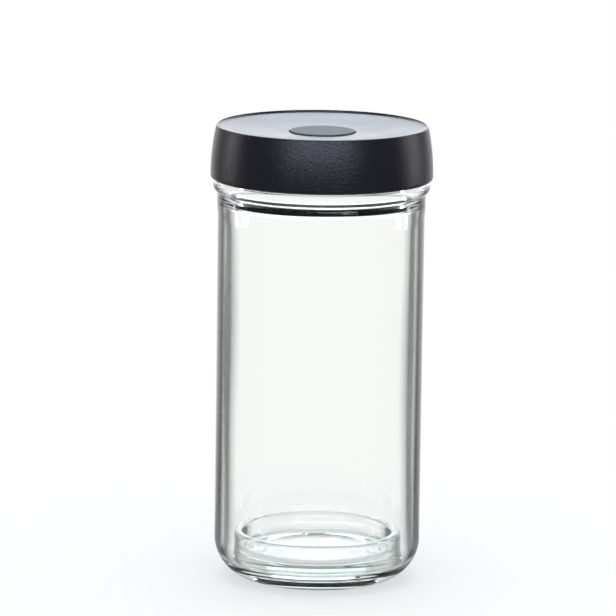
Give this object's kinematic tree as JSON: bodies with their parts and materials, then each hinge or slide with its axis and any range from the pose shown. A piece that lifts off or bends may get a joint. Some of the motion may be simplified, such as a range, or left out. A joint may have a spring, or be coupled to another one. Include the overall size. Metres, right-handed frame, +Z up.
{
  "type": "fermentation jar",
  "caption": "Tall clear glass jar with a rounded heel, a dark convex screw lid holding a one-way vent valve, and a loose glass dish weight for keeping food under brine.",
  "frame": {"origin": "middle of the foot ring that the jar stands on", "axes": "+Z up along the jar's axis, -Y towards the pictured front"},
  "size_m": [0.1128, 0.1128, 0.2337],
  "materials": {
    "jar_glass": "clear polished soda-lime glass",
    "glass_weight": "clear polished soda-lime glass",
    "lid_cover": "satin anthracite",
    "lid_liner": "plain moulded",
    "lid_gasket": "translucent white silicone",
    "valve_seat": "plain moulded",
    "seat_seal": "translucent white silicone",
    "valve_flap": "translucent white silicone",
    "valve_cap": "matte grey silicone"
  },
  "bodies": {
    "jar": {"jar_glass": "jar_glass"},
    "weight": {"glass_weight": "glass_weight"},
    "lid_ring": {"lid_gasket": "lid_gasket"},
    "lid": {"lid_cover": "lid_cover", "lid_liner": "lid_liner", "valve_seat": "valve_seat", "seat_seal": "seat_seal"},
    "flap": {"valve_flap": "valve_flap"},
    "cap": {"valve_cap": "valve_cap"}
  },
  "joints": [
    {"name": "lid_rise", "type": "slide", "parent": "jar", "child": "lid_ring", "axis": [0, 0, 1], "range_m": [0, 0.048]},
    {"name": "lid_turn", "type": "hinge", "parent": "lid_ring", "child": "lid", "pos_m": [0, 0, 0.215], "axis": [0, 0, 1], "range_deg": [0, 720]},
    {"name": "vent_lift", "type": "slide", "parent": "lid", "child": "flap", "axis": [0, 0, 1], "range_m": [0, 0.0008], "stiffness_N_per_m": 40},
    {"name": "cap_pull", "type": "slide", "parent": "lid", "child": "cap", "axis": [0, 0, 1], "range_m": [0, 0.012]},
    {"name": "weight_lift", "type": "slide", "parent": "jar", "child": "weight", "axis": [0, 0, 1], "range_m": [0, 0.195]}
  ],
  "couplings": [
    {"joint": "lid_rise", "follows": "lid_turn", "m_per_rad": 0.0038197}
  ]
}
